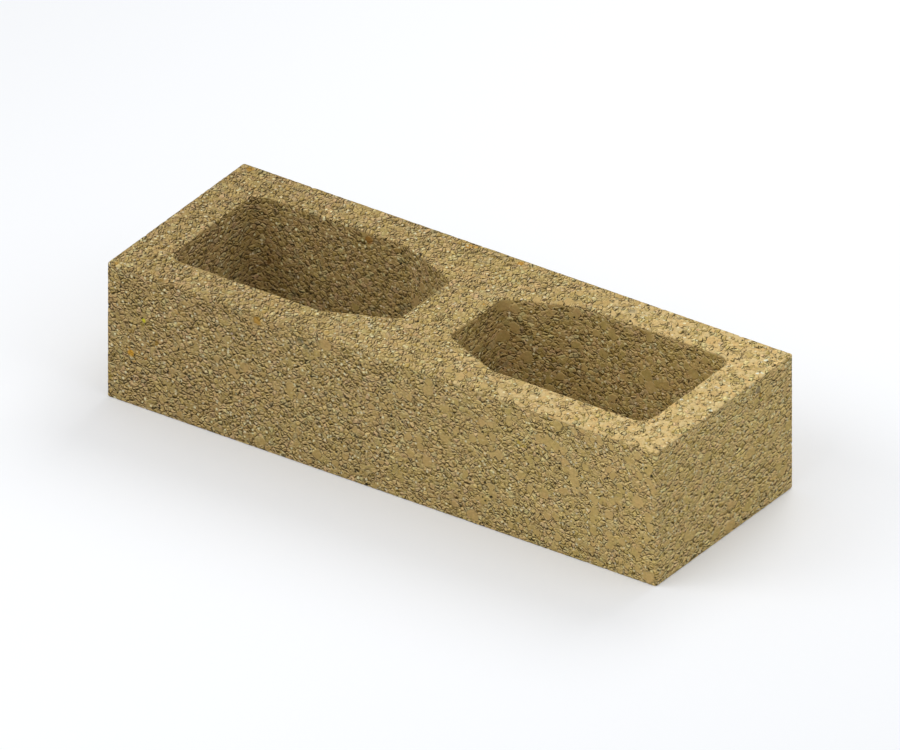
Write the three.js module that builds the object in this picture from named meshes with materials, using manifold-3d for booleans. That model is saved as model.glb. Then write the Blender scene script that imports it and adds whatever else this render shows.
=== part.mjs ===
// A hollow concrete masonry unit with two open cores, lying on its bed face.
// It is moulded in one piece: dry-mix concrete is pressed round two tapered core bars, and the mould is
// then drawn up off it, so every core wall leans a little and no edge comes out sharp.
//
// Millimetres, +Z up. The origin is the middle of the lower bed face, and +X runs along the length.

import * as THREE from "three";
import { mergeVertices } from "three/addons/utils/BufferGeometryUtils.js";
import Module from "manifold-3d";

// The block: 15 5/8 x 5 5/8 x 3 5/8 inches, which a 3/8 inch mortar joint makes up to 16 x 6 x 4.
const blockLength = 396.875;
const blockWidth = 142.875;
const blockHeight = 92.075;

// What is left round the cores, measured at the top, where the cores are widest.
const faceShell = 25.4;
const endShell = 25.4;
const middleWeb = 36;

// A core in plan, at the top: square at its outer end, and narrowed by two slanted cheeks towards the web.
const cheekLength = 41;
const cheekSetback = 17.5;

// A core in height: how far its walls lean in from top to bottom.
const coreDraft = 1.6;

// The upright corners, each at its tightest: those of a core at its foot, the block's own on its bed faces.
const endCornerRadius = 8.5;
const shoulderRadius = 18.5;
const noseCornerRadius = 3.5;
const blockCornerRadius = 0.4;

// The rounded edges round the bed faces, and those where the cores open into them.
const arrisRadius = 0.6;
const rimRadius = 0.8;

// Fineness of the round stretches, and how far the core cutters pass the bed faces.
const blockCornerSegments = 4;
const coreCornerSegments = 10;
const edgeSegments = 4;
const cutterOvershoot = 5;

const buffConcrete = new THREE.MeshStandardMaterial({
  color: 0xa89363,
  roughness: 0.95,
  metalness: 0,
  flatShading: true,
});

const wasm = await Module();
wasm.setup();

/**
 * The arcs that round the corners of an outline. The outline runs anticlockwise and is the widest one of a
 * tapered wall; each corner's own radius is what is left of it where the wall has come in by deepestInset.
 */
function roundedCorners(outline, deepestInset) {
  return outline.map((corner, i) => {
    const before = outline.at(i - 1).point;
    const after = outline[(i + 1) % outline.length].point;
    const toBefore = before.clone().sub(corner.point).normalize();
    const toAfter = after.clone().sub(corner.point).normalize();
    const inward = toBefore.clone().add(toAfter).normalize();
    const halfAngle = toBefore.angleTo(toAfter) / 2;
    const radius = corner.radius + deepestInset;
    return {
      centre: corner.point.clone().addScaledVector(inward, radius / Math.sin(halfAngle)),
      radius,
      start: toBefore.angle() + Math.PI / 2,
      end: toAfter.angle() - Math.PI / 2,
    };
  });
}

/** The outline through those arcs, drawn in by an inset: each arc keeps its centre, so walls stay parallel. */
function outlineAt(corners, inset, segments) {
  return corners.flatMap(({ centre, radius, start, end }) => {
    const reach = radius - inset;
    return new THREE.EllipseCurve(centre.x, centre.y, reach, reach, start, end).getPoints(segments);
  });
}

/** The block's outline in plan. */
function blockCorners() {
  const x = blockLength / 2;
  const y = blockWidth / 2;
  const points = [
    new THREE.Vector2(x, -y),
    new THREE.Vector2(x, y),
    new THREE.Vector2(-x, y),
    new THREE.Vector2(-x, -y),
  ];
  return roundedCorners(
    points.map((point) => ({ point, radius: blockCornerRadius })),
    arrisRadius,
  );
}

/** The outline in plan of the core on the +X side. */
function coreCorners() {
  const outerX = blockLength / 2 - endShell;
  const noseX = middleWeb / 2;
  const shoulderX = noseX + cheekLength;
  const wallY = blockWidth / 2 - faceShell;
  const noseY = wallY - cheekSetback;
  const outline = [
    { point: new THREE.Vector2(outerX, -wallY), radius: endCornerRadius },
    { point: new THREE.Vector2(outerX, wallY), radius: endCornerRadius },
    { point: new THREE.Vector2(shoulderX, wallY), radius: shoulderRadius },
    { point: new THREE.Vector2(noseX, noseY), radius: noseCornerRadius },
    { point: new THREE.Vector2(noseX, -noseY), radius: noseCornerRadius },
    { point: new THREE.Vector2(shoulderX, -wallY), radius: shoulderRadius },
  ];
  return roundedCorners(outline, coreDraft);
}

/** Levels from bed face to bed face, where a quarter round joins the wall to each of the two faces. */
function levelsBetweenBeds(radius, insetAt) {
  const quarterRound = Array.from({ length: edgeSegments + 1 }, (_, i) => {
    const angle = (i / edgeSegments) * (Math.PI / 2);
    return { depth: radius * (1 - Math.sin(angle)), offWall: radius * (1 - Math.cos(angle)) };
  });
  const levelAt = (z, offWall) => ({ z, inset: insetAt(z, offWall) });
  const bottom = quarterRound.map(({ depth, offWall }) => levelAt(depth, offWall)).reverse();
  const top = quarterRound.map(({ depth, offWall }) => levelAt(blockHeight - depth, offWall));
  return [...bottom, ...top];
}

/** A closed skin over the outline at each level, from the lowest to the highest. */
function loft(corners, segments, levels) {
  const outlines = levels.map(({ inset }) => outlineAt(corners, inset, segments));
  const positions = outlines.flatMap((outline, i) => outline.flatMap(({ x, y }) => [x, y, levels[i].z]));
  const pointCount = outlines[0].length;
  const indices = [];
  for (let level = 0; level + 1 < levels.length; level++) {
    const low = level * pointCount;
    const high = low + pointCount;
    for (let i = 0; i < pointCount; i++) {
      const next = (i + 1) % pointCount;
      indices.push(low + i, low + next, high + next, low + i, high + next, high + i);
    }
  }
  const lid = (levels.length - 1) * pointCount;
  for (const [a, b, c] of THREE.ShapeUtils.triangulateShape(outlines[0], [])) {
    indices.push(a, c, b, lid + a, lid + b, lid + c);
  }
  const geometry = new THREE.BufferGeometry();
  geometry.setAttribute("position", new THREE.Float32BufferAttribute(positions, 3));
  geometry.setIndex(indices);
  return geometry;
}

/** The block without its cores, with all twelve edges rounded. */
function outerBlock() {
  const levels = levelsBetweenBeds(arrisRadius, (z, offWall) => offWall);
  return loft(blockCorners(), blockCornerSegments, levels);
}

/** What the core bar on the +X side leaves open: it opens out at both rims, and passes both bed faces. */
function coreCutter() {
  const lean = (z) => coreDraft * (1 - z / blockHeight);
  const levels = levelsBetweenBeds(rimRadius, (z, offWall) => lean(z) - offWall);
  const below = { z: -cutterOvershoot, inset: levels[0].inset };
  const above = { z: blockHeight + cutterOvershoot, inset: levels.at(-1).inset };
  return loft(coreCorners(), coreCornerSegments, [below, ...levels, above]);
}

/** A closed geometry as a solid that can be cut. */
function toSolid(geometry) {
  const merged = mergeVertices(geometry);
  return new wasm.Manifold(
    new wasm.Mesh({
      numProp: 3,
      vertProperties: Float32Array.from(merged.attributes.position.array),
      triVerts: Uint32Array.from(merged.index.array),
    }),
  );
}

/** A solid as a geometry that a mesh can show. */
function toGeometry(solid) {
  const { vertProperties, triVerts } = solid.getMesh();
  const geometry = new THREE.BufferGeometry();
  geometry.setAttribute("position", new THREE.BufferAttribute(vertProperties, 3));
  geometry.setIndex(new THREE.BufferAttribute(triVerts, 1));
  geometry.computeVertexNormals();
  return geometry;
}

// The two cores are alike and lie nose to nose across the middle web.
let body = toSolid(outerBlock());
for (const turn of [0, Math.PI]) {
  body = body.subtract(toSolid(coreCutter().rotateZ(turn)));
}

const hollowBlock = new THREE.Mesh(toGeometry(body), buffConcrete);
hollowBlock.name = "hollow_block";

const group = new THREE.Group();
group.add(hollowBlock);

export default group;
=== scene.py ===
"""A hollow concrete masonry unit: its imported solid, dressed in the grit and paste of dry-cast concrete."""

import math

import bpy
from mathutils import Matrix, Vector


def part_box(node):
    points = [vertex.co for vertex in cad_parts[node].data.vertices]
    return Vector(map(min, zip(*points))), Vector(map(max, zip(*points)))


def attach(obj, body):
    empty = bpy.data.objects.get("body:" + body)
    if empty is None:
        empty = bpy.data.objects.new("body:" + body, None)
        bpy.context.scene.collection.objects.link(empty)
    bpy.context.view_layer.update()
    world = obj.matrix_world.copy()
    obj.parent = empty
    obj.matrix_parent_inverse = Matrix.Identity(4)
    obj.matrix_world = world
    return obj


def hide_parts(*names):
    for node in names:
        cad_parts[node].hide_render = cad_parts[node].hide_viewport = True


MM = 0.001

# The camera looks without perspective at the middle of the block.
CAMERA_AZIMUTH = math.radians(34.65)
CAMERA_ELEVATION = math.radians(30.22)
CAMERA_DISTANCE = 2.0
VIEW_WIDTH = 535.6 * MM

# The studio: an even sky, and four broad soft lamps above and round the block, by place and power.
SKY_STRENGTH = 0.53
LAMP_SIZE = 0.8
LAMP_HEIGHT = 1.0
LAMPS = {
    "front_lamp": (0, -0.8, 2.35),
    "front_left_lamp": (-0.8, -0.8, 4.1),
    "right_lamp": (0.8, 0, 1.7),
    "back_lamp": (0, 0.8, 5.0),
}
FLOOR_SIZE = 12
FLOOR_GLOW = 0.085

# The block's relief, cut in its mesh; what is finer is in its material. Lengths here are in millimetres.
FINE_FACET = 0.75
MOST_TRIANGLES = 196_000
HOLLOW_SPACING = 5.0
HOLLOW_DEPTH = 0.1
RAGGED_SPACING = 2.4
RAGGED_DEPTH = 0.12
PIT_SPACING = 8.0
PIT_REACH = 0.24
PIT_FLOOR = 0.4
PIT_DEPTH = 0.4
PROUDEST = 0.25
BED_CLEARANCE = 0.6
SMOOTH_ANGLE = math.radians(28)

# The slanted cheeks of the cores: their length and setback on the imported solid, and how much further into
# the core they stand. Their noses lie within NOSE_CORNERS of the middle of the length, their shoulders from
# there to SHOULDER_CORNERS, and both within INNER_FACES of the middle of the width. Millimetres.
CHEEK_LENGTH = 41.0
CHEEK_SETBACK = 17.5
CHEEK_SLANT = math.atan2(CHEEK_SETBACK, CHEEK_LENGTH)
CHEEK_IN = 1.3
NOSE_CORNERS = 40.0
SHOULDER_CORNERS = 80.0
INNER_FACES = 60.0

# The grit: the spacing of its grains, and how much they are pressed flat. Millimetres.
GRAIN_SPACING = 2.8
PRESSING = (1.0, 0.6, 0.96)
TOP_PRESSING = (1.12, 0.66, 0.96)
STRIKE_ANGLE = math.radians(-35)
SAND_SPACING = 1.6
WAVER_SPACING = 3.0
WAVER = 0.9
PEBBLE_SPACING = 6.6
SHARE_LEFT = 0.1
SHARE_RIGHT = 0.7
SHARE_TOP = 1.2
PEBBLE_LEAST = 0.28
PEBBLE_MOST = 0.74
LOBE_SPACING = 2.2
LOBE = 0.5
SPECK_SPACING = 2.0
OPENING_SPACING = 2.6
HUE_SPACING = 11.0
# The widest that the painted shade of an open crevice reaches from its seam.
CREVICE_WIDTH = 1.0
CLUMP_SPACING = 5.0
SPREAD_SPACING = 10.0
SPREAD = 0.32
DOME = 1.3
LEVEL = 0.7
LUMP = 0.9
SMOOTH_LUMP = 0.3
WALL_BUMP = 0.5

# The paste that fills the seams: SEALED millimetres at most round pebbles, and FILLING millimetres where it
# lies thick. That is on a share BOUND of the dense clumps, and over the grains that it buries, which are
# those with a random number above BURIED_ABOVE.
SEALED = 0.45
BOUND = 0.8
FILLING = 0.6
BURIED_ABOVE = 0.4

# How open the crevices are, and so where their painted shade lies: the noise that opens them, and how much
# looser the mix is to the left and between the clumps.
OPENING_STRETCH = (0.8, 0.8, 1.4)
OPEN_FROM = 0.46
OPEN_FULLY = 0.64
LOOSER_LEFT = 0.05
LOOSER_RIGHT = -0.01
LOOSER_CLUMP = 0.1

# The painted highlight and painted shade on each grain. On upright faces the painted highlight is on the
# upper flank, as in light from above. The top has no such side: its painted highlight is on the far left
# flank, which stands in for soft light there.
LIT_SIDE = (0.1, 0.0, 1.0)
TOP_LIT_SIDE = (-0.88, 0.45, 0.0)
PAINTED_HIGHLIGHT = 0.56
SHADE = 0.52

# A factor on the colours as they are written, which is fitted: it rises from the left end to the right one,
# which may be light as much as pigment, and is lower on the core walls, as painted shade in the cores.
TONE_LEFT = 1.09
TONE_RIGHT = 1.52
TONE_POWER = 1.4
WALL_SHADE = 0.88
WALL_PEBBLE_SHADE = 0.97

# Where faces and cores are, for what differs on them. A face's mask ends over a band below it, in depths
# from the face; the cores lie within these reaches of the middle. Millimetres.
STRUCK_DEPTH = 1
MASK_FROM = 1.2
MASK_FULL = 0.8
CORE_REACH_ACROSS = 50
CORE_REACH_ALONG = 177
CORE_MASK_EDGE = 2
FAR_FROM = 20
FAR_FULL = 110
END_SHARE = 0.4

# A speck with a random number above the first of these is a pale glint, and below the second a pore,
# drawn as a dot of painted shade.
GLINTS_ABOVE = 0.9
PORE_SHADE_BELOW = 0.02

# Stains and odd stones on the faces: place from the origin and radius in millimetres, then colour. A stain
# has its full strength within STAIN_FULL of its radius, and is gone at STAIN_EDGE.
STAIN_STRENGTH = 0.75
STAIN_FULL = 0.7
STAIN_EDGE = 1.1
STAINS = [
    (-172.0, -71.4, 60.8, 1.5, "d8d222"),
    (-173.0, -71.4, 58.0, 1.4, "77661c"),
    (-181.4, -71.4, 35.6, 2.4, "dca01e"),
    (-182.6, -71.4, 39.0, 1.2, "b88a34"),
    (-178.8, -71.4, 31.2, 1.3, "b88a38"),
    (-175.6, -71.4, 37.6, 1.2, "ad8536"),
    (-170.6, -71.4, 35.0, 0.9, "c08440"),
    (-162.6, -71.4, 48.0, 1.8, "a17e34"),
    (-134.0, -71.4, 40.0, 0.8, "b98e50"),
    (-90.1, -71.4, 88.0, 2.9, "bd8f36"),
    (-197.0, -71.4, 14.5, 2.0, "a3893e"),
    (-58.9, -71.4, 84.5, 2.8, "7f7650"),
    (-55.0, -71.4, 81.6, 2.0, "7f7650"),
    (-108.4, -71.4, 72.8, 1.0, "c2ab98"),
    (-107.4, -71.4, 70.4, 1.0, "c2ab98"),
    (99.0, -71.4, 67.0, 1.2, "c9ae48"),
    (102.4, -71.4, 65.0, 1.2, "c9ae48"),
    (-182.8, 46, 77.4, 2.8, "6f6750"),
    (-179.3, 46, 73.9, 1.6, "94722a"),
    (-178.6, 46, 70.6, 0.8, "b0b058"),
    (-168.4, 46, 85.1, 1.8, "87662c"),
    (-162.6, 46, 48.4, 1.8, "6f4f16"),
    (-90.1, 46, 87.2, 3.0, "9a6a24"),
    (30.2, 46, 78.0, 2.8, "6f6750"),
    (33.8, 46, 74.1, 2.0, "9c7826"),
    (34.6, 46, 70.4, 0.8, "b0b058"),
    (98.3, 46, 63.7, 1.6, "94783a"),
    (-32.4, 66.5, 91.6, 2.8, "cf9a40"),
    (-28.0, 68.0, 91.6, 1.8, "cf9a40"),
    (4.7, 67.2, 91.6, 2.4, "d29a38"),
    (14.0, 15.0, 92.1, 1.3, "e0ac50"),
    (88.5, 44.5, 92.1, 1.1, "dca446"),
    (91.3, 58.3, 92.1, 2.8, "b0a07a"),
    (136.4, 62.2, 92.1, 1.1, "d8a070"),
    (-193.0, -69.5, 92.1, 1.6, "bd9348"),
    (-191.2, 67.5, 92.1, 2.6, "b88d3c"),
    (174.6, -10.8, 92.1, 1.2, "f2f4e0"),
    (180.6, -3.8, 92.1, 1.2, "ece8b8"),
    (196.7, -11.4, 92.1, 1.3, "eef2da"),
    (194.8, 40.3, 92.1, 1.1, "eaf2e0"),
    (196.6, 42.4, 92.1, 1.1, "eaf2e0"),
    (190.0, 56.0, 92.1, 1.5, "eef4dc"),
    (198.4, 35.0, 84.6, 2.4, "837960"),
    (198.4, 37.5, 80.3, 1.6, "b58c2c"),
    (198.4, 38.4, 76.4, 0.9, "c4c258"),
]


def linear(hex_colour):
    """An sRGB hex colour as a linear RGBA tuple."""
    channels = [int(hex_colour[i : i + 2], 16) / 255 for i in (0, 2, 4)]
    return tuple(c / 12.92 if c <= 0.04045 else ((c + 0.055) / 1.055) ** 2.4 for c in channels) + (1.0,)


def add(tree, kind, inputs=None, stops=(), **settings):
    """Adds a node with its settings. An input is a value, or an output of another node to link. The stops of
    a colour ramp are pairs of a position and an sRGB hex colour."""
    made = tree.nodes.new(kind)
    for name, value in settings.items():
        setattr(made, name, value)
    for i, (position, colour) in enumerate(stops):
        stop = made.color_ramp.elements[i] if i < 2 else made.color_ramp.elements.new(position)
        stop.position = position
        stop.color = linear(colour)
    for name, value in (inputs or {}).items():
        socket = made.inputs[name]
        if isinstance(value, bpy.types.NodeSocket):
            tree.links.new(value, socket)
        else:
            socket.default_value = value
    return made


def place_camera(middle):
    """Looks at the middle of the block from its front right, with no perspective."""
    back = Vector(
        (
            math.sin(CAMERA_AZIMUTH) * math.cos(CAMERA_ELEVATION),
            -math.cos(CAMERA_AZIMUTH) * math.cos(CAMERA_ELEVATION),
            math.sin(CAMERA_ELEVATION),
        )
    )
    bpy.ops.object.camera_add(location=middle + CAMERA_DISTANCE * back)
    camera = bpy.context.object
    camera.name = "camera"
    camera.rotation_euler = back.to_track_quat("Z", "Y").to_euler()
    camera.data.type = "ORTHO"
    camera.data.ortho_scale = VIEW_WIDTH
    bpy.context.scene.camera = camera


def backdrop_rays(tree):
    """1 for the rays that should find a white backdrop: from the camera, of reflections and through glass."""
    path = add(tree, "ShaderNodeLightPath")
    either = add(
        tree,
        "ShaderNodeMath",
        {0: path.outputs["Is Camera Ray"], 1: path.outputs["Is Glossy Ray"]},
        operation="MAXIMUM",
    )
    any_of_them = add(
        tree,
        "ShaderNodeMath",
        {0: either.outputs[0], 1: path.outputs["Is Transmission Ray"]},
        operation="MAXIMUM",
    )
    return any_of_them.outputs[0]


def make_floor():
    """A pale floor that looks white, with the block's soft shadow on it."""
    bpy.ops.mesh.primitive_plane_add(size=FLOOR_SIZE)
    floor = bpy.context.object
    floor.name = "floor"
    material = bpy.data.materials.new("pale_floor")
    material.use_nodes = True
    tree = material.node_tree
    tree.nodes.clear()
    bounce = add(tree, "ShaderNodeBsdfDiffuse", {"Color": linear("dcdcdc")})
    shaded = add(tree, "ShaderNodeBsdfDiffuse", {"Color": linear("f1f3f6")})
    glow = add(tree, "ShaderNodeEmission", {"Color": linear("ffffff"), "Strength": FLOOR_GLOW})
    white = add(tree, "ShaderNodeAddShader", {0: shaded.outputs[0], 1: glow.outputs[0]})
    seen = add(
        tree,
        "ShaderNodeMixShader",
        {0: backdrop_rays(tree), 1: bounce.outputs[0], 2: white.outputs[0]},
    )
    add(tree, "ShaderNodeOutputMaterial", {"Surface": seen.outputs[0]})
    floor.data.materials.append(material)


def add_lamp(name, x, y, power):
    """A round soft lamp above the block, turned to its middle."""
    place = Vector((x, y, LAMP_HEIGHT))
    bpy.ops.object.light_add(type="AREA", location=place)
    lamp = bpy.context.object
    lamp.name = name
    lamp.data.shape = "DISK"
    lamp.data.size = LAMP_SIZE
    lamp.data.energy = power
    lamp.rotation_euler = place.to_track_quat("Z", "Y").to_euler()


def light_studio():
    """An even sky all round, and the soft lamps."""
    world = bpy.data.worlds.new("studio")
    world.use_nodes = True
    tree = world.node_tree
    tree.nodes.clear()
    sky = add(tree, "ShaderNodeBackground", {"Color": linear("ffffff"), "Strength": SKY_STRENGTH})
    backdrop = add(tree, "ShaderNodeBackground", {"Color": linear("ffffff"), "Strength": 1.0})
    seen = add(
        tree,
        "ShaderNodeMixShader",
        {0: backdrop_rays(tree), 1: sky.outputs[0], 2: backdrop.outputs[0]},
    )
    add(tree, "ShaderNodeOutputWorld", {"Surface": seen.outputs[0]})
    bpy.context.scene.world = world
    for name, (x, y, power) in LAMPS.items():
        add_lamp(name, x, y, power)


def select_only(piece):
    bpy.ops.object.select_all(action="DESELECT")
    piece.select_set(True)
    bpy.context.view_layer.objects.active = piece


def make_relief():
    """A geometry node group that sinks pits and hollows into a surface, along its normals."""
    tree = bpy.data.node_groups.new("concrete_relief", "GeometryNodeTree")
    tree.interface.new_socket("Geometry", in_out="INPUT", socket_type="NodeSocketGeometry")
    tree.interface.new_socket("Geometry", in_out="OUTPUT", socket_type="NodeSocketGeometry")
    entry = add(tree, "NodeGroupInput")
    position = add(tree, "GeometryNodeInputPosition")
    normal = add(tree, "GeometryNodeInputNormal")
    place = add(tree, "ShaderNodeVectorMath", {0: position.outputs[0], "Scale": 1 / MM}, operation="SCALE")
    place = place.outputs[0]

    # Open pits, then broad hollows and a ragged grain.
    pits = add(tree, "ShaderNodeTexVoronoi", {"Vector": place, "Scale": 1 / PIT_SPACING})
    pit = add(
        tree,
        "ShaderNodeMapRange",
        {
            "Value": pits.outputs["Distance"],
            "From Min": PIT_REACH,
            "From Max": PIT_FLOOR * PIT_REACH,
            "To Max": PIT_DEPTH,
        },
        interpolation_type="SMOOTHSTEP",
    )
    depth = pit.outputs[0]
    for spacing, deepest in [(HOLLOW_SPACING, HOLLOW_DEPTH), (RAGGED_SPACING, RAGGED_DEPTH)]:
        noise = add(tree, "ShaderNodeTexNoise", {"Vector": place, "Scale": 1 / spacing, "Detail": 1.0})
        hollow = add(
            tree,
            "ShaderNodeMapRange",
            {"Value": noise.outputs[0], "From Min": 0.6, "From Max": 0.3, "To Max": deepest},
        )
        total = add(tree, "ShaderNodeMath", {0: depth, 1: hollow.outputs[0]}, operation="ADD")
        depth = total.outputs[0]

    # The lower bed stays flat where it rests on the floor.
    up = add(tree, "ShaderNodeSeparateXYZ", {0: place})
    off_bed = add(tree, "ShaderNodeMapRange", {"Value": up.outputs[2], "From Max": BED_CLEARANCE})
    proud = add(tree, "ShaderNodeMath", {0: PROUDEST, 1: depth}, operation="SUBTRACT")
    kept = add(tree, "ShaderNodeMath", {0: proud.outputs[0], 1: off_bed.outputs[0]}, operation="MULTIPLY")
    outward = add(tree, "ShaderNodeMath", {0: kept.outputs[0], 1: MM}, operation="MULTIPLY")
    offset = add(
        tree,
        "ShaderNodeVectorMath",
        {0: normal.outputs[0], "Scale": outward.outputs[0]},
        operation="SCALE",
    )
    sunk = add(tree, "GeometryNodeSetPosition", {"Geometry": entry.outputs[0], "Offset": offset.outputs[0]})
    add(tree, "NodeGroupOutput", {0: sunk.outputs[0]})
    return tree


def count_triangles(piece):
    return sum(len(face.vertices) - 2 for face in piece.data.polygons)


def move_corners(block, is_corner, shift):
    """Moves the upright edges of a core whose places, in millimetres, pass a test."""
    bpy.ops.mesh.select_all(action="DESELECT")
    bpy.ops.object.mode_set(mode="OBJECT")
    for vertex in block.data.vertices:
        x, y, _ = vertex.co / MM
        vertex.select = abs(y) < INNER_FACES and is_corner(x, y)
    bpy.ops.object.mode_set(mode="EDIT")
    bpy.ops.transform.translate(value=Vector(shift) * MM)


def set_cheeks_in(block):
    """Sets the cheeks further in, parallel to where they were: their shoulders slide along the face shells,
    and the corners of their noses along the web."""
    shoulder_slide = CHEEK_IN / math.sin(CHEEK_SLANT)
    nose_slide = CHEEK_IN / math.cos(CHEEK_SLANT)
    for side in (1, -1):
        move_corners(
            block,
            lambda x, y: NOSE_CORNERS < side * x < SHOULDER_CORNERS,
            (side * shoulder_slide, 0, 0),
        )
        move_corners(
            block,
            lambda x, y: abs(x) < NOSE_CORNERS and side * y > 0,
            (0, -side * nose_slide, 0),
        )


def make_block(solid):
    """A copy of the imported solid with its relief: fine even facets first, then fewer where it is plain."""
    block = solid.copy()
    block.data = solid.data.copy()
    block.name = "concrete_block"
    bpy.context.scene.collection.objects.link(block)
    block.data.materials.clear()
    select_only(block)
    bpy.ops.object.mode_set(mode="EDIT")
    bpy.ops.mesh.select_all(action="SELECT")
    bpy.ops.mesh.remove_doubles(threshold=0.001 * MM)
    set_cheeks_in(block)
    bpy.ops.object.mode_set(mode="OBJECT")

    remesh = block.modifiers.new("even_facets", "REMESH")
    remesh.mode = "VOXEL"
    remesh.voxel_size = FINE_FACET * MM
    relief = block.modifiers.new("relief", "NODES")
    relief.node_group = make_relief()
    bpy.ops.object.modifier_apply(modifier=remesh.name)
    bpy.ops.object.modifier_apply(modifier=relief.name)
    thin = block.modifiers.new("fewer_facets", "DECIMATE")
    thin.ratio = MOST_TRIANGLES / count_triangles(block)
    bpy.ops.object.modifier_apply(modifier=thin.name)
    bpy.ops.object.shade_smooth_by_angle(angle=SMOOTH_ANGLE)
    return block


def dry_cast_concrete(length, height):
    """Dry-cast concrete, pressed down in a steel mould: flattened grains of sand and grit with open crevices
    between them, darkened with painted shade, pebbles skinned with smooth paste, and grains with a painted
    highlight on one flank and painted shade on the other. Millimetres."""
    material = bpy.data.materials.new("dry_cast_concrete")
    material.use_nodes = True
    tree = material.node_tree
    tree.nodes.clear()
    coordinates = add(tree, "ShaderNodeTexCoord")
    scaled = add(
        tree,
        "ShaderNodeVectorMath",
        {0: coordinates.outputs["Object"], "Scale": 1 / MM},
        operation="SCALE",
    )
    place = scaled.outputs[0]
    at = add(tree, "ShaderNodeSeparateXYZ", {0: place}).outputs
    rightwards = add(
        tree,
        "ShaderNodeMapRange",
        {"Value": at[0], "From Min": -length / 2, "From Max": length / 2},
    ).outputs[0]

    # What is pressed flat: the outlines waver a little first.
    waver = add(tree, "ShaderNodeTexNoise", {"Vector": place, "Scale": 1 / WAVER_SPACING, "Detail": 1.0})
    shift = add(
        tree,
        "ShaderNodeVectorMath",
        {0: waver.outputs["Color"], 1: (2 * WAVER,) * 3, 2: place},
        operation="MULTIPLY_ADD",
    )
    struck = add(tree, "ShaderNodeMath", {0: at[2], 1: height - STRUCK_DEPTH}, operation="GREATER_THAN")
    pressing = add(
        tree,
        "ShaderNodeMix",
        {0: struck.outputs[0], 4: PRESSING, 5: TOP_PRESSING},
        data_type="VECTOR",
    )
    askew = add(tree, "ShaderNodeMath", {0: struck.outputs[0], 1: STRIKE_ANGLE}, operation="MULTIPLY")
    turned = add(
        tree,
        "ShaderNodeVectorRotate",
        {"Vector": shift.outputs[0], "Angle": askew.outputs[0]},
        rotation_type="Z_AXIS",
    )
    pressed = add(
        tree,
        "ShaderNodeVectorMath",
        {0: turned.outputs[0], 1: pressing.outputs[1]},
        operation="MULTIPLY",
    ).outputs[0]

    # Pebbles, pressed in till they lie flush: more of them towards +X, most on top there, few on the ends.
    pebbles = add(tree, "ShaderNodeTexVoronoi", {"Vector": pressed, "Scale": 1 / PEBBLE_SPACING})
    pebble = add(tree, "ShaderNodeSeparateColor", {0: pebbles.outputs["Color"]}).outputs
    share = add(
        tree,
        "ShaderNodeMapRange",
        {"Value": rightwards, "To Min": SHARE_LEFT, "To Max": SHARE_RIGHT},
    )
    on_top = add(
        tree,
        "ShaderNodeMapRange",
        {"Value": at[2], "From Min": height - MASK_FROM, "From Max": height - MASK_FULL},
    )
    far = add(
        tree,
        "ShaderNodeMapRange",
        {"Value": at[0], "From Min": FAR_FROM, "From Max": FAR_FULL},
    ).outputs[0]
    top_share = add(tree, "ShaderNodeMath", {0: far, 1: SHARE_TOP}, operation="MULTIPLY")
    faced_share = add(
        tree,
        "ShaderNodeMix",
        {0: on_top.outputs[0], 2: share.outputs[0], 3: top_share.outputs[0]},
    )
    from_middle = add(tree, "ShaderNodeMath", {0: at[0]}, operation="ABSOLUTE")
    on_end = add(
        tree,
        "ShaderNodeMapRange",
        {
            "Value": from_middle.outputs[0],
            "From Min": length / 2 - MASK_FROM,
            "From Max": length / 2 - MASK_FULL,
            "To Min": 1.0,
            "To Max": END_SHARE,
        },
    )
    end_share = add(
        tree,
        "ShaderNodeMath",
        {0: faced_share.outputs[0], 1: on_end.outputs[0]},
        operation="MULTIPLY",
    ).outputs[0]
    scarcer = add(tree, "ShaderNodeMath", {0: end_share, 1: 0.2}, operation="SUBTRACT").outputs[0]
    spreading = add(tree, "ShaderNodeTexNoise", {"Vector": place, "Scale": 1 / SPREAD_SPACING, "Detail": 2.0})
    spread_lean = add(tree, "ShaderNodeMath", {0: on_top.outputs[0], 1: far}, operation="MULTIPLY")
    spread_most = add(
        tree,
        "ShaderNodeMath",
        {0: spread_lean.outputs[0], 1: SPREAD, 2: spreading.outputs[0]},
        operation="MULTIPLY_ADD",
    )
    laid = add(
        tree,
        "ShaderNodeMapRange",
        {"Value": spread_most.outputs[0], "From Min": 0.66, "From Max": 0.8},
        interpolation_type="SMOOTHSTEP",
    )
    size = add(
        tree,
        "ShaderNodeMapRange",
        {"Value": pebble[2], "To Min": PEBBLE_LEAST, "To Max": PEBBLE_MOST},
    )
    reach = add(
        tree,
        "ShaderNodeMapRange",
        {
            "Value": pebble[0],
            "From Min": end_share,
            "From Max": scarcer,
            "To Min": -0.4,
            "To Max": size.outputs[0],
        },
    ).outputs[0]
    lobes = add(tree, "ShaderNodeTexNoise", {"Vector": place, "Scale": 1 / LOBE_SPACING, "Detail": 2.0})
    lobed = add(tree, "ShaderNodeMath", {0: lobes.outputs[0], 1: 0.5}, operation="SUBTRACT")
    distance = add(
        tree,
        "ShaderNodeMath",
        {0: lobed.outputs[0], 1: LOBE, 2: pebbles.outputs["Distance"]},
        operation="MULTIPLY_ADD",
    )
    sunk = add(tree, "ShaderNodeMath", {0: distance.outputs[0], 1: laid.outputs[0]}, operation="ADD")
    inside = add(tree, "ShaderNodeMath", {0: reach, 1: sunk.outputs[0]}, operation="SUBTRACT")
    from_rim = add(
        tree,
        "ShaderNodeMath",
        {0: inside.outputs[0], 1: PEBBLE_SPACING},
        operation="MULTIPLY",
    ).outputs[0]
    skinned = add(
        tree,
        "ShaderNodeMapRange",
        {"Value": from_rim, "From Min": -0.3, "From Max": 0.6},
    ).outputs[0]

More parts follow.
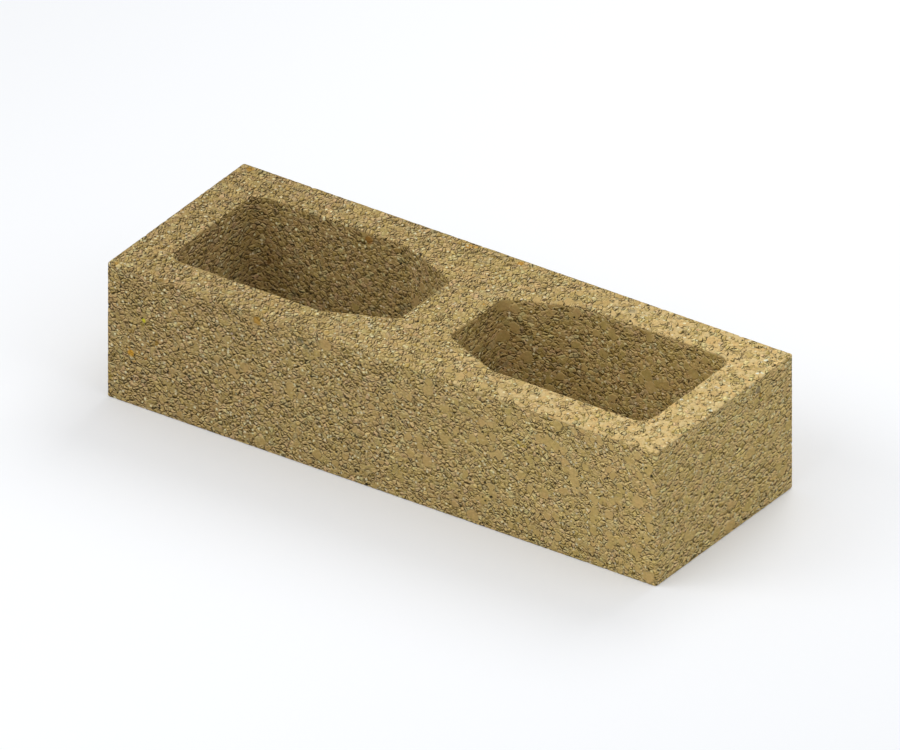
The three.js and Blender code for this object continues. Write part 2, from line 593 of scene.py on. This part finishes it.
    # The mix is denser in clumps, where paste seals the seams round the pebbles.
    clumps = add(
        tree,
        "ShaderNodeTexNoise",
        {"Vector": place, "Scale": 1 / CLUMP_SPACING, "Detail": 2.0},
    ).outputs[0]
    rim = add(tree, "ShaderNodeMath", {0: from_rim}, operation="ABSOLUTE")
    sealed = add(
        tree,
        "ShaderNodeMapRange",
        {"Value": clumps, "From Min": 0.42, "From Max": 0.58, "To Max": SEALED},
    )
    off_rim = add(
        tree,
        "ShaderNodeMath",
        {0: rim.outputs[0], 1: sealed.outputs[0]},
        operation="ADD",
    ).outputs[0]

    # Grains between them, and the seams round both, in millimetres.
    grain_cells = {"Vector": pressed, "Scale": 1 / GRAIN_SPACING}
    grains = add(tree, "ShaderNodeTexVoronoi", grain_cells)
    grain = add(tree, "ShaderNodeSeparateColor", {0: grains.outputs["Color"]}).outputs
    grain_edge = add(tree, "ShaderNodeTexVoronoi", grain_cells, feature="DISTANCE_TO_EDGE")
    from_grain = add(
        tree,
        "ShaderNodeMath",
        {0: grain_edge.outputs["Distance"], 1: GRAIN_SPACING},
        operation="MULTIPLY",
    )
    nearest = add(tree, "ShaderNodeMath", {0: from_grain.outputs[0], 1: off_rim}, operation="MINIMUM")
    seam = add(tree, "ShaderNodeMix", {0: skinned, 2: nearest.outputs[0], 3: off_rim}).outputs[0]
    buried = add(tree, "ShaderNodeMath", {0: grain[2], 1: BURIED_ABOVE}, operation="GREATER_THAN")
    spread = add(
        tree,
        "ShaderNodeMath",
        {0: laid.outputs[0], 1: buried.outputs[0]},
        operation="MULTIPLY",
    ).outputs[0]
    bound = add(
        tree,
        "ShaderNodeMapRange",
        {"Value": clumps, "From Min": 0.55, "From Max": 0.65, "To Max": BOUND},
        interpolation_type="SMOOTHSTEP",
    )
    filled = add(tree, "ShaderNodeMath", {0: spread, 1: bound.outputs[0]}, operation="MAXIMUM").outputs[0]
    seam = add(tree, "ShaderNodeMath", {0: filled, 1: FILLING, 2: seam}, operation="MULTIPLY_ADD").outputs[0]
    smooth = add(tree, "ShaderNodeMath", {0: filled, 1: skinned}, operation="MAXIMUM").outputs[0]
    stretched = add(tree, "ShaderNodeVectorMath", {0: place, 1: OPENING_STRETCH}, operation="MULTIPLY")
    opening = add(
        tree,
        "ShaderNodeTexNoise",
        {"Vector": stretched.outputs[0], "Scale": 1 / OPENING_SPACING, "Detail": 1.0},
    )
    looser = add(
        tree,
        "ShaderNodeMapRange",
        {"Value": rightwards, "To Min": LOOSER_LEFT, "To Max": LOOSER_RIGHT},
    )
    looser_clump = add(
        tree,
        "ShaderNodeMapRange",
        {
            "Value": clumps,
            "From Min": 0.3,
            "From Max": 0.7,
            "To Min": LOOSER_CLUMP,
            "To Max": -LOOSER_CLUMP,
        },
    )
    loosest = add(tree, "ShaderNodeMath", {0: looser_clump.outputs[0], 1: looser.outputs[0]}, operation="ADD")
    openness = add(tree, "ShaderNodeMath", {0: opening.outputs[0], 1: loosest.outputs[0]}, operation="ADD")
    widest = add(
        tree,
        "ShaderNodeMapRange",
        {
            "Value": openness.outputs[0],
            "From Min": OPEN_FROM,
            "From Max": OPEN_FULLY,
            "To Max": CREVICE_WIDTH,
        },
    )

    # Height in millimetres, which the bump takes: grains and pebbles round off to their seams.
    sand = add(
        tree,
        "ShaderNodeTexNoise",
        {"Vector": pressed, "Scale": 1 / SAND_SPACING, "Detail": 1.0, "Roughness": 0.6},
    ).outputs[0]
    roundness = add(
        tree,
        "ShaderNodeMapRange",
        {"Value": seam, "From Max": 0.7, "To Max": DOME},
        interpolation_type="SMOOTHSTEP",
    )
    own_level = add(tree, "ShaderNodeMath", {0: grain[1], 1: LEVEL, 2: 1 - LEVEL}, operation="MULTIPLY_ADD")
    level = add(tree, "ShaderNodeMath", {0: own_level.outputs[0], 1: smooth}, operation="MAXIMUM")
    dome = add(tree, "ShaderNodeMath", {0: roundness.outputs[0], 1: level.outputs[0]}, operation="MULTIPLY")
    sandiness = add(
        tree,
        "ShaderNodeMapRange",
        {"Value": smooth, "To Min": LUMP, "To Max": SMOOTH_LUMP * LUMP},
    )
    lumpy = add(
        tree,
        "ShaderNodeMath",
        {0: sand, 1: sandiness.outputs[0], 2: dome.outputs[0]},
        operation="MULTIPLY_ADD",
    )
    reach_across = add(tree, "ShaderNodeMath", {0: at[1]}, operation="ABSOLUTE")
    in_width = add(
        tree,
        "ShaderNodeMapRange",
        {
            "Value": reach_across.outputs[0],
            "From Min": CORE_REACH_ACROSS + CORE_MASK_EDGE,
            "From Max": CORE_REACH_ACROSS,
        },
    )
    in_length = add(
        tree,
        "ShaderNodeMapRange",
        {
            "Value": from_middle.outputs[0],
            "From Min": CORE_REACH_ALONG + CORE_MASK_EDGE,
            "From Max": CORE_REACH_ALONG,
        },
    )
    in_core = add(
        tree,
        "ShaderNodeMath",
        {0: in_width.outputs[0], 1: in_length.outputs[0]},
        operation="MULTIPLY",
    )
    on_wall = add(
        tree,
        "ShaderNodeMath",
        {0: in_core.outputs[0], 1: on_top.outputs[0]},
        operation="GREATER_THAN",
    )
    strength = add(
        tree,
        "ShaderNodeMapRange",
        {"Value": on_wall.outputs[0], "To Min": 1.0, "To Max": WALL_BUMP},
    )
    bump = add(
        tree,
        "ShaderNodeBump",
        {"Strength": strength.outputs[0], "Distance": MM, "Height": lumpy.outputs[0]},
    )

    # Each grain's painted highlight on one flank and painted shade on the other.
    normal = add(tree, "ShaderNodeNewGeometry").outputs["Normal"]
    side = add(
        tree,
        "ShaderNodeMix",
        {0: on_top.outputs[0], 4: LIT_SIDE, 5: TOP_LIT_SIDE},
        data_type="VECTOR",
    ).outputs[1]
    off_surface = add(tree, "ShaderNodeVectorMath", {0: side, 1: normal}, operation="PROJECT")
    on_surface = add(
        tree,
        "ShaderNodeVectorMath",
        {0: side, 1: off_surface.outputs[0]},
        operation="SUBTRACT",
    )
    upwards = add(tree, "ShaderNodeVectorMath", {0: on_surface.outputs[0]}, operation="NORMALIZE")
    facing = add(
        tree,
        "ShaderNodeVectorMath",
        {0: bump.outputs[0], 1: upwards.outputs[0]},
        operation="DOT_PRODUCT",
    ).outputs["Value"]
    # A painted highlight on flanks turned to the lit side, and painted shade on flanks turned away from it.
    painted_highlight = add(
        tree,
        "ShaderNodeMapRange",
        {"Value": facing, "From Max": 0.5, "To Max": PAINTED_HIGHLIGHT},
    ).outputs[0]
    shade = add(
        tree,
        "ShaderNodeMapRange",
        {"Value": facing, "From Max": -0.6, "To Max": SHADE},
    ).outputs[0]

    # Crevices in painted shade: open stretches of seam, under the grain above.
    depth = add(tree, "ShaderNodeMath", {0: widest.outputs[0], 1: seam}, operation="SUBTRACT")
    opened = add(
        tree,
        "ShaderNodeMapRange",
        {"Value": depth.outputs[0], "From Max": 0.16, "To Max": 0.9},
        interpolation_type="SMOOTHSTEP",
    )
    under = add(
        tree,
        "ShaderNodeMapRange",
        {"Value": facing, "From Min": 0.35, "From Max": -0.2},
        interpolation_type="SMOOTHSTEP",
    )
    crevice_shade = add(
        tree,
        "ShaderNodeMath",
        {0: opened.outputs[0], 1: under.outputs[0]},
        operation="MULTIPLY",
    ).outputs[0]

    # Colours, from the grains and pebbles up to the painted highlight and shade, the pores in painted shade
    # and the stains.
    grit = add(
        tree,
        "ShaderNodeValToRGB",
        {0: grain[0]},
        stops=[
            (0.0, "927b44"),
            (0.14, "a98e50"),
            (0.28, "b89a6a"),
            (0.42, "a68a58"),
            (0.56, "c2a86a"),
            (0.7, "9c864a"),
            (0.82, "c6a67c"),
            (0.92, "988c66"),
            (1.0, "d8c88c"),
        ],
    ).outputs[0]
    core = add(
        tree,
        "ShaderNodeValToRGB",
        {0: pebble[1]},
        stops=[(0.0, "a18c55"), (0.5, "a88f5b"), (1.0, "ad9462")],
    ).outputs[0]
    bared = add(tree, "ShaderNodeMapRange", {"Value": from_rim, "From Min": 0.2, "From Max": 1.4}).outputs[0]
    between = add(
        tree,
        "ShaderNodeMix",
        {0: bound.outputs[0], 6: linear("b79a62"), 7: linear("9d8a56")},
        data_type="RGBA",
    ).outputs[2]
    paste = add(tree, "ShaderNodeMix", {0: bared, 6: between, 7: core}, data_type="RGBA").outputs[2]
    pasted = add(tree, "ShaderNodeMix", {0: smooth, 6: grit, 7: paste}, data_type="RGBA")
    hues = add(tree, "ShaderNodeTexNoise", {"Vector": place, "Scale": 1 / HUE_SPACING, "Detail": 2.0})
    hue = add(
        tree,
        "ShaderNodeValToRGB",
        {0: hues.outputs[0]},
        stops=[(0.3, "f6f6e8"), (0.45, "f8f6ee"), (0.55, "faf5f1"), (0.7, "fdf4f4")],
    ).outputs[0]
    hued = add(
        tree,
        "ShaderNodeMix",
        {0: 1.0, 6: pasted.outputs[2], 7: hue},
        data_type="RGBA",
        blend_type="MULTIPLY",
    )
    smeared = add(
        tree,
        "ShaderNodeValToRGB",
        {0: clumps},
        stops=[(0.34, "b3905b"), (0.5, "b39765"), (0.66, "b59d70")],
    ).outputs[0]
    spread_over = add(
        tree,
        "ShaderNodeMix",
        {0: spread, 6: hued.outputs[2], 7: smeared},
        data_type="RGBA",
    )
    specks = add(tree, "ShaderNodeTexVoronoi", {"Vector": shift.outputs[0], "Scale": 1 / SPECK_SPACING})
    speck = add(tree, "ShaderNodeSeparateColor", {0: specks.outputs["Color"]}).outputs
    dot = add(
        tree,
        "ShaderNodeMapRange",
        {"Value": specks.outputs["Distance"], "From Min": 0.5, "From Max": 0.3},
    )
    bright = add(tree, "ShaderNodeMath", {0: speck[0], 1: GLINTS_ABOVE}, operation="GREATER_THAN")
    bare = add(tree, "ShaderNodeMapRange", {"Value": skinned, "To Min": 1.0, "To Max": 0.2})
    glinted = add(tree, "ShaderNodeMath", {0: dot.outputs[0], 1: bright.outputs[0]}, operation="MULTIPLY")
    glint = add(tree, "ShaderNodeMath", {0: glinted.outputs[0], 1: bare.outputs[0]}, operation="MULTIPLY")
    glassy = add(
        tree,
        "ShaderNodeValToRGB",
        {0: speck[1]},
        stops=[(0.0, "dccf92"), (0.5, "eae2b4"), (1.0, "dccba8")],
    ).outputs[0]
    # The painted highlight and the painted shade on each grain's flanks, mixed into its colour.
    highlighted = add(
        tree,
        "ShaderNodeMix",
        {0: painted_highlight, 6: spread_over.outputs[2], 7: linear("e8cd92")},
        data_type="RGBA",
    )
    shaded = add(
        tree,
        "ShaderNodeMix",
        {0: shade, 6: highlighted.outputs[2], 7: linear("4a3b1b")},
        data_type="RGBA",
    )
    # Painted shade in the open crevices.
    crevice_shaded = add(
        tree,
        "ShaderNodeMix",
        {0: crevice_shade, 6: shaded.outputs[2], 7: linear("3e3216")},
        data_type="RGBA",
    )
    # A pore: a dot of painted shade where a small hole would be.
    dark = add(tree, "ShaderNodeMath", {0: speck[0], 1: PORE_SHADE_BELOW}, operation="LESS_THAN")
    pore_shade = add(tree, "ShaderNodeMath", {0: dot.outputs[0], 1: dark.outputs[0]}, operation="MULTIPLY")
    pore_shaded = add(
        tree,
        "ShaderNodeMix",
        {0: pore_shade.outputs[0], 6: crevice_shaded.outputs[2], 7: linear("2b2616")},
        data_type="RGBA",
    )
    yellower = add(
        tree,
        "ShaderNodeMix",
        {0: rightwards, 6: pore_shaded.outputs[2], 7: linear("fafffe")},
        data_type="RGBA",
        blend_type="MULTIPLY",
    )
    clumping = add(
        tree,
        "ShaderNodeMapRange",
        {"Value": clumps, "From Min": 0.3, "From Max": 0.7, "To Min": 0.97, "To Max": 1.0},
    )

    # The tone along the length, and painted shade in the cores.
    rising = add(tree, "ShaderNodeMath", {0: rightwards, 1: TONE_POWER}, operation="POWER")
    along = add(
        tree,
        "ShaderNodeMapRange",
        {"Value": rising.outputs[0], "To Min": TONE_LEFT, "To Max": TONE_RIGHT},
    )
    # Painted shade on the core walls, a little less on their pebbles.
    wall_shade = add(
        tree,
        "ShaderNodeMapRange",
        {"Value": skinned, "To Min": WALL_SHADE, "To Max": WALL_PEBBLE_SHADE},
    )
    core_shade = add(
        tree,
        "ShaderNodeMapRange",
        {"Value": on_wall.outputs[0], "To Min": 1.0, "To Max": wall_shade.outputs[0]},
    )
    even = add(tree, "ShaderNodeMix", {0: laid.outputs[0], 2: clumping.outputs[0], 3: 1.0}).outputs[0]
    mottling = add(
        tree,
        "ShaderNodeMapRange",
        {"Value": sand, "From Min": 0.3, "From Max": 0.7, "To Min": 0.9, "To Max": 1.1},
    )
    mottled = add(tree, "ShaderNodeMath", {0: even, 1: mottling.outputs[0]}, operation="MULTIPLY")
    lengthwise = add(
        tree,
        "ShaderNodeMath",
        {0: along.outputs[0], 1: mottled.outputs[0]},
        operation="MULTIPLY",
    )
    brightness = add(
        tree,
        "ShaderNodeMath",
        {0: lengthwise.outputs[0], 1: core_shade.outputs[0]},
        operation="MULTIPLY",
    )
    lit = add(
        tree,
        "ShaderNodeVectorMath",
        {0: yellower.outputs[2], "Scale": brightness.outputs[0]},
        operation="SCALE",
    )
    stained = lit.outputs[0]
    for x, y, z, radius, tint in STAINS:
        gap = add(
            tree,
            "ShaderNodeVectorMath",
            {0: shift.outputs[0], 1: (x + WAVER, y + WAVER, z + WAVER)},
            operation="DISTANCE",
        )
        mark = add(
            tree,
            "ShaderNodeMapRange",
            {
                "Value": gap.outputs["Value"],
                "From Min": STAIN_EDGE * radius,
                "From Max": STAIN_FULL * radius,
                "To Max": STAIN_STRENGTH,
            },
        )
        stained = add(
            tree,
            "ShaderNodeMix",
            {0: mark.outputs[0], 6: stained, 7: linear(tint)},
            data_type="RGBA",
        ).outputs[2]
    colour = add(
        tree,
        "ShaderNodeMix",
        {0: glint.outputs[0], 6: stained, 7: glassy},
        data_type="RGBA",
    )
    shader = add(
        tree,
        "ShaderNodeBsdfPrincipled",
        {
            "Base Color": colour.outputs[2],
            "Roughness": 0.9,
            "Specular IOR Level": 0.2,
            "Normal": bump.outputs[0],
        },
    )
    add(tree, "ShaderNodeOutputMaterial", {"Surface": shader.outputs[0]})
    return material


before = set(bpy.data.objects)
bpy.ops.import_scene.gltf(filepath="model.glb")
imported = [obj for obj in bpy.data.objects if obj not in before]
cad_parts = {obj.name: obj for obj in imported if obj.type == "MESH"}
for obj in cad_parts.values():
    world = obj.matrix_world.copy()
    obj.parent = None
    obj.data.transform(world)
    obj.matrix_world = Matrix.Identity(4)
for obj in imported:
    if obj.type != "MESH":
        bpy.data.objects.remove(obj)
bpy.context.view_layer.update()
lowest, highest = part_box("hollow_block")
bpy.context.scene.view_settings.view_transform = "Standard"

place_camera((lowest + highest) / 2)
make_floor()
light_studio()

block = make_block(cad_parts["hollow_block"])
block.data.materials.append(dry_cast_concrete(*((highest - lowest) / MM).xz))
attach(block, "root")
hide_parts("hollow_block")
print("triangles", count_triangles(block))
